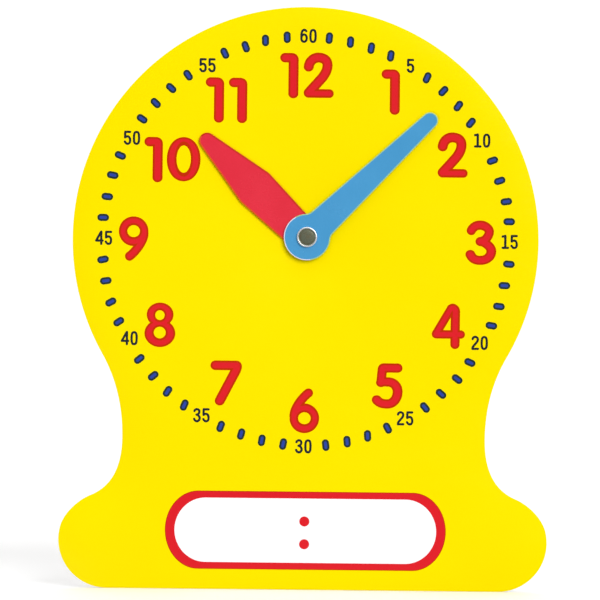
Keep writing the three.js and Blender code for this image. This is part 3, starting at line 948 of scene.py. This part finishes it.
def cap_metal(name, bright, dull, rough_lo, rough_hi, tarnish, metallic=1.0, dark_ring_radius=0.0):
    """Plated cap: turned hairlines, a soft haze and, where tarnish says, a browner film. The last argument is the
    radius of a broken darker brown ring, slightly sunk; there is none if it is 0."""
    f = Finish(name, rough_lo, metallic)
    r, a = f.from_rivet()
    lines = f.tree.nodes.new("ShaderNodeTexNoise")
    lines.noise_dimensions = "2D"
    pack = f.tree.nodes.new("ShaderNodeCombineXYZ")
    f.link(f.math("MULTIPLY", r, 9000.0), pack.inputs[0])
    f.link(f.math("MULTIPLY", a, 0.7), pack.inputs[1])
    f.link(pack.outputs[0], lines.inputs["Vector"])
    lines.inputs["Scale"].default_value = 1.0
    lines.inputs["Detail"].default_value = 3.0
    hair = lines.outputs["Fac"]
    haze = f.span(f.noise(520, 5, 0.6, warp=0.6), 0.35, 0.68)
    tone = f.mix(haze, bright, dull)
    stain = f.span(f.noise(340, 4, 0.6, shift=(0.2, 0.5, 0.9)), 0.45, 0.7)
    tone = f.mix(f.math("MULTIPLY", stain, tarnish), tone, linear(126, 104, 70))
    if dark_ring_radius:
        # A broken darker brown ring, slightly sunk.
        mark = f.span(f.math("ABSOLUTE", f.math("SUBTRACT", r, dark_ring_radius)), 0.0001, 0.00035, 1.0, 0.0)
        mark = f.math("MULTIPLY", mark, f.span(f.noise(150, 2, shift=(0.7, 0.1, 0.3)), 0.4, 0.58))
        tone = f.mix(f.math("MULTIPLY", mark, 0.55), tone, linear(96, 74, 46))
        f.bump(mark, -0.00004)
    f.color(tone)
    f.roughness(f.math("ADD", f.span(haze, 0.0, 1.0, rough_lo, rough_hi), f.math("MULTIPLY", hair, 0.06)))
    f.bump(hair, 0.000008)
    f.bump(f.noise(900, 3, 0.6), 0.00001)
    return f.mat


# Painted highlight: the rim's metal is near-white and only partly metallic, so the ring shows bright all round beside
# the darker dish.
RIM_PAINTED_HIGHLIGHT = cap_metal("rivet_metal", linear(248, 250, 252), linear(236, 239, 242), 0.2, 0.3, 0.06, 0.6)
# Painted shade and reflection: the dish takes a dark olive metal that stands in for the dark surroundings it mirrors
# and the shade inside the rim, with a brown tarnish film.
DISH_PAINTED_SHADE = cap_metal("rivet_dish_painted_shade", linear(122, 127, 106), linear(102, 106, 87), 0.24, 0.38, 0.4, 0.45, 0.0041)
REAR = cap_metal("rivet_rear_metal", linear(196, 195, 189), linear(170, 169, 162), 0.2, 0.3, 0.25)

# ---------------------------------------------------------------------------
# Board
# ---------------------------------------------------------------------------
OUTLINE = tidy(board_outline(), 0.05)
INK_SLOT = {"red": 1, "red_rim": 2, "navy": 3, "navy_rim": 4, "navy_fine": 5, "panel": 6}
EDGE_FILM = film_edge()
WHITE_CUT = board_edge()
BACK_FILM = backing()

inks = [(loops, INK_SLOT[name]) for loops, name in ink_shapes()]
face_print = plate(
    "face_print",
    OUTLINE,
    [circle(*PIVOT, 3.4, 72)],
    [(0.16, FACE), (0.09, FACE - 0.012), (0.035, FACE - 0.05), (0.0, FACE - 0.13), (0.0, CORE_HALF)],
    [YELLOW, RED_INK, RED_RIM, NAVY_INK, NAVY_RIM, NAVY_FINE, PANEL, EDGE_FILM],
    [0, 0, 7, 7],
    (0, 7),
    inks,
)
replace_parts(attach(face_print, "board"), "face_sheet")

core = plate(
    "board_sheet",
    OUTLINE,
    [circle(*PIVOT, 3.25, 64)],
    [(0.05, CORE_HALF), (0.0, CORE_HALF - 0.08), (0.0, 0.4), (0.0, -0.4), (0.0, -CORE_HALF + 0.08), (0.05, -CORE_HALF)],
    [WHITE_CUT],
    [0] * 5,
)
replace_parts(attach(core, "board"), "board_core")

back = plate(
    "backing_film",
    OUTLINE,
    [circle(*PIVOT, 8.2, 96)],
    [(0.0, -CORE_HALF), (0.0, -FACE + 0.13), (0.035, -FACE + 0.05), (0.09, -FACE + 0.012), (0.16, -FACE)],
    [BACK_FILM],
    [0] * 4,
)
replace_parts(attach(back, "board"), "backing_sheet")

# ---------------------------------------------------------------------------
# Hands
# ---------------------------------------------------------------------------


def outward(loop):
    """The outward direction at each point of an anticlockwise loop."""
    e = np.roll(loop, -1, 0) - loop
    e /= np.hypot(e[:, 0], e[:, 1])[:, None]
    n = np.stack([e[:, 1], -e[:, 0]], 1)
    m = n + np.roll(n, 1, 0)
    return m / np.hypot(m[:, 0], m[:, 1])[:, None]


def hand(name, loop, degrees, h0, mats, bevel, band, bare_or_shade, bare_or_shade_to, within=1e9):
    """mats are the top, the cut edge, the rim and the side band. band is the width of the rim; the next two arguments
    give the width of the side band and the direction of the side where it is widest, and within is the distance from
    the rivet inside which it lies. On the minute hand the rim is painted with yellow light bounced from the face and
    the side band is uncoloured plastic; on the hour hand the side band is painted shade, orange like the shadow along
    that side."""
    loop = densify(tidy(turned_by(loop, degrees), 0.08), 3.0)
    h1 = h0 + HAND_T
    side = np.clip(outward(loop) @ np.array(bare_or_shade_to) * 3.2, 0, 1)
    side = side * np.clip((within - np.hypot(*(loop - np.array(PIVOT)).T)) / 0.3, 0, 1)
    rim = bevel + band * (1 - side) + 0.03 * side + bare_or_shade * side
    edge_slots = np.append(np.where(np.minimum(side, np.roll(side, -1)) > 0.5, 3, 2), 2)
    rings = [(rim, h1, bevel + 0.03)]
    for k in range(4):
        a = math.radians(90 * k / 3)
        rings.append((bevel * (1 - math.sin(a)), h1 - bevel * (1 - math.cos(a))))
    rings += [(0.0, h0 + 0.1), (0.08, h0)]
    bands = [edge_slots] * 4 + [1] * (len(rings) - 5)
    return plate(name, loop, [circle(*PIVOT, 3.08, 72)], rings, mats, bands, (0, 1), sharp=45)


# The hour hand's side band, on its lower-left side, is painted shade in the orange of the shadow there.
hour = hand("hour_blade", hour_outline(), HOUR_DEG, H_HOUR, [RED_TOP, RED_EDGE, RED_BURR, RED_PAINTED_SHADE_BAND], 0.12, 0.85, 0.7, (-0.72, -0.69))
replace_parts(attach(hour, "hour"), "hour_hand")
# The minute hand's rim carries painted yellow bounce light from the face; its side band, at the hub's left, is
# uncoloured plastic.
minute = hand("minute_blade", minute_outline(), MINUTE_DEG, H_MINUTE, [BLUE_TOP, BLUE_EDGE, BLUE_RIM_PAINTED_BOUNCE, WHITE_RIM], 0.1, 0.5, 0.42, (-0.93, -0.32), 14.9)
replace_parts(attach(minute, "minute"), "minute_hand")

# ---------------------------------------------------------------------------
# Rivet and washers
# ---------------------------------------------------------------------------
top = H_CAP + CAP_H
flange_top = H_CAP + 0.68
head_profile = softened(
    [
        (0.0, top - 0.24, "soft"),
        (1.4, top - 0.25, "soft"),
        (2.8, top - 0.29, "soft"),
        (4.1, top - 0.37, "soft"),
        (4.75, top - 0.42, "soft"),
        (5.0, top - 0.36, "soft"),
        (5.12, top - 0.22, "soft"),
        (5.24, top - 0.08, "soft"),
        (5.46, top, "soft"),
        (5.74, top - 0.06, "soft"),
        (5.96, top - 0.24, "soft"),
        (6.08, top - 0.5, "soft"),
        (6.1, top - 0.75, "soft"),
        (6.0, H_CAP + 0.2, "soft"),
        (5.7, H_CAP, "soft"),
        (4.6, H_CAP),
        (4.6, H_CAP + 0.26),
        (5.5, H_CAP + 0.26),
        (5.62, flange_top + 0.06),
        (3.4, flange_top + 0.06),
        (3.2, top - 0.55),
        (0.0, top - 0.5),
    ]
)
# The dish and the inner slope of the rim get the darker metal, which is painted shade and reflection.
head = lathe(
    "rivet_head", head_profile, [RIM_PAINTED_HIGHLIGHT, DISH_PAINTED_SHADE], slot_of=lambda p, q: 1 if max(p[0], q[0]) < 5.2 and min(p[1], q[1]) > top - 0.47 else 0, n=192
)
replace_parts(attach(head, "board"), "rivet_front_cap")

lip = -1.85
rear_top = lip - 1.35
rear_profile = softened(
    [
        (0.0, rear_top, "soft"),
        (1.3, rear_top + 0.015, "soft"),
        (2.6, rear_top + 0.06, "soft"),
        (3.8, rear_top + 0.16, "soft"),
        (4.8, rear_top + 0.34, "soft"),
        (5.35, rear_top + 0.58, "soft"),
        (5.6, rear_top + 0.95, "soft"),
        (5.5, lip - 0.12, "soft"),
        (5.25, lip, "soft"),
        (4.2, lip),
        (4.2, lip - 0.22),
        (4.95, lip - 0.22),
        (4.95, rear_top + 0.8),
        (4.0, rear_top + 0.45),
        (2.3, rear_top + 0.29),
        (0.0, rear_top + 0.25),
    ]
)
tail = lathe("rivet_tail", rear_profile, [REAR], n=176)
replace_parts(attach(tail, "board"), "rivet_rear_cap")

NYLON = nylon()


def washer(name, r0, r1, h0, h1, node):
    b = min(0.1, (h1 - h0) * 0.3)
    profile = [
        (r0, h0 + b),
        (r0 + b, h0),
        (r1 - b, h0),
        (r1 - b * 0.3, h0 + b * 0.3),
        (r1, h0 + b),
        (r1, h1 - b),
        (r1 - b * 0.3, h1 - b * 0.3),
        (r1 - b, h1),
        (r0 + b, h1),
        (r0, h1 - b),
    ]
    o = lathe(name, profile, [NYLON], n=128)
    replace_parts(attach(o, "board"), node)
    return o


washer("washer_face", 3.06, 9.0, 1.52, 1.92, "face_washer")
washer("washer_hands", 3.06, 9.0, 2.82, 3.12, "hand_spacer_washer")
washer("washer_rear", 3.06, 7.5, -1.82, -1.22, "rear_washer")

for node in ("rivet_post", "rivet_rear_socket"):
    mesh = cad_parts[node].data
    mesh.materials.clear()
    mesh.materials.append(REAR)

# ---------------------------------------------------------------------------
# Floor, light, camera
# ---------------------------------------------------------------------------
scene = bpy.context.scene


def make_floor():
    n, rows = 128, [0.0, 0.5, 1.5, 3.0, 6.0, 9.0]
    verts, faces = [(0, 0, 0)], []
    for r in rows[1:]:
        verts += [(r * math.cos(2 * math.pi * k / n), r * math.sin(2 * math.pi * k / n), 0) for k in range(n)]
    for k in range(n):
        faces.append((0, 1 + k, 1 + (k + 1) % n))
    for i in range(len(rows) - 2):
        a, b = 1 + i * n, 1 + (i + 1) * n
        for k in range(n):
            j = (k + 1) % n
            faces.append((a + k, b + k, b + j, a + j))
    f = Finish("floor_pale", 0.7)
    f.color(f.mix(f.span(f.noise(3, 4), 0.3, 0.7), linear(251, 251, 251), linear(249, 249, 249)))
    f.bump(f.noise(120, 3), 0.00003)
    o = make("floor", verts, faces, [f.mat])
    o.location.z = -0.0001
    # the floor neither lights the face from below nor mirrors in it, so the shadows on the face fall one way
    o.visible_diffuse = False
    o.visible_glossy = False
    o.visible_shadow = False


make_floor()

world = bpy.data.worlds.new("studio")
scene.world = world
world.use_nodes = True
wt = world.node_tree
wt.nodes.clear()
w_out = wt.nodes.new("ShaderNodeOutputWorld")


def wmath(op, a, b=0.0, clamp=False):
    n = wt.nodes.new("ShaderNodeMath")
    n.operation = op
    n.use_clamp = clamp
    for s, v in ((n.inputs[0], a), (n.inputs[1], b)):
        if isinstance(v, bpy.types.NodeSocket):
            wt.links.new(v, s)
        else:
            s.default_value = v
    return n.outputs[0]


def wspan(value, a, b, lo=0.0, hi=1.0):
    n = wt.nodes.new("ShaderNodeMapRange")
    n.interpolation_type = "SMOOTHSTEP"
    wt.links.new(value, n.inputs["Value"])
    for key, v in (("From Min", a), ("From Max", b), ("To Min", lo), ("To Max", hi)):
        n.inputs[key].default_value = v
    return n.outputs["Result"]


coord = wt.nodes.new("ShaderNodeTexCoord").outputs["Generated"]
sep = wt.nodes.new("ShaderNodeSeparateXYZ")
wt.links.new(coord, sep.inputs[0])
dx, dy, dz = sep.outputs[0], sep.outputs[1], sep.outputs[2]
front = wmath("MULTIPLY", dy, -1.0)
# brighter at the upper right, overhead and behind; nearly dark in front of the face, where a camera would stand
slant = wmath("ADD", wmath("MULTIPLY", dx, 0.72), wmath("MULTIPLY", dz, 0.69))
tent = wmath("ADD", wspan(slant, -0.3, 0.8, 0.4, 0.5), wspan(dy, 0.1, 0.9, 0.0, 0.55))
dark = wspan(front, 0.68, 0.9, 1.0, 0.02)
radiance = wmath("MULTIPLY", tent, dark)
light_bg = wt.nodes.new("ShaderNodeBackground")
light_bg.inputs["Color"].default_value = (1.0, 0.99, 0.98, 1)
wt.links.new(radiance, light_bg.inputs["Strength"])
seen_bg = wt.nodes.new("ShaderNodeBackground")
seen_bg.inputs["Color"].default_value = (1, 1, 1, 1)
seen_bg.inputs["Strength"].default_value = 1.1
which = wt.nodes.new("ShaderNodeMixShader")
path = wt.nodes.new("ShaderNodeLightPath")
wt.links.new(path.outputs["Is Camera Ray"], which.inputs[0])
wt.links.new(light_bg.outputs[0], which.inputs[1])
wt.links.new(seen_bg.outputs[0], which.inputs[2])
wt.links.new(which.outputs[0], w_out.inputs["Surface"])


def sun(name, towards, energy, degrees, color=(1, 1, 1), mirrored=True):
    """A distant soft light that comes from the direction towards, and mirrors in glossy surfaces if mirrored."""
    data = bpy.data.lights.new(name, "SUN")
    data.energy = energy
    data.angle = math.radians(degrees)
    data.color = color
    o = bpy.data.objects.new(name, data)
    o.rotation_mode = "QUATERNION"
    o.rotation_quaternion = Vector(towards).to_track_quat("Z", "Y")
    o.location = Vector(towards).normalized() * 2
    o.visible_glossy = mirrored
    scene.collection.objects.link(o)


sun("key", (0.46, -0.78, 0.43), 2.26, 40, (0.985, 1.0, 1.015))
sun("fill", (-0.36, -0.88, -0.31), 0.69, 32, mirrored=False)
sun("overhead", (0.0, 0.0, 1.0), 1.15, 60)

camera = bpy.data.cameras.new("camera")
camera.lens = 200
camera.sensor_width = 36
cam = bpy.data.objects.new("camera", camera)
roll = math.radians(0.61)
c, s = math.cos(roll), math.sin(roll)
cam.matrix_world = Matrix(((c, -s, 0, -0.003007), (0, 0, -1, -2.0015), (s, c, 0, 0.17387), (0, 0, 0, 1)))
scene.collection.objects.link(cam)
scene.camera = cam

scene.view_settings.view_transform = "Standard"
scene.view_settings.look = "None"
scene.view_settings.exposure = 0.0
scene.view_settings.gamma = 1.0

bpy.context.view_layer.update()
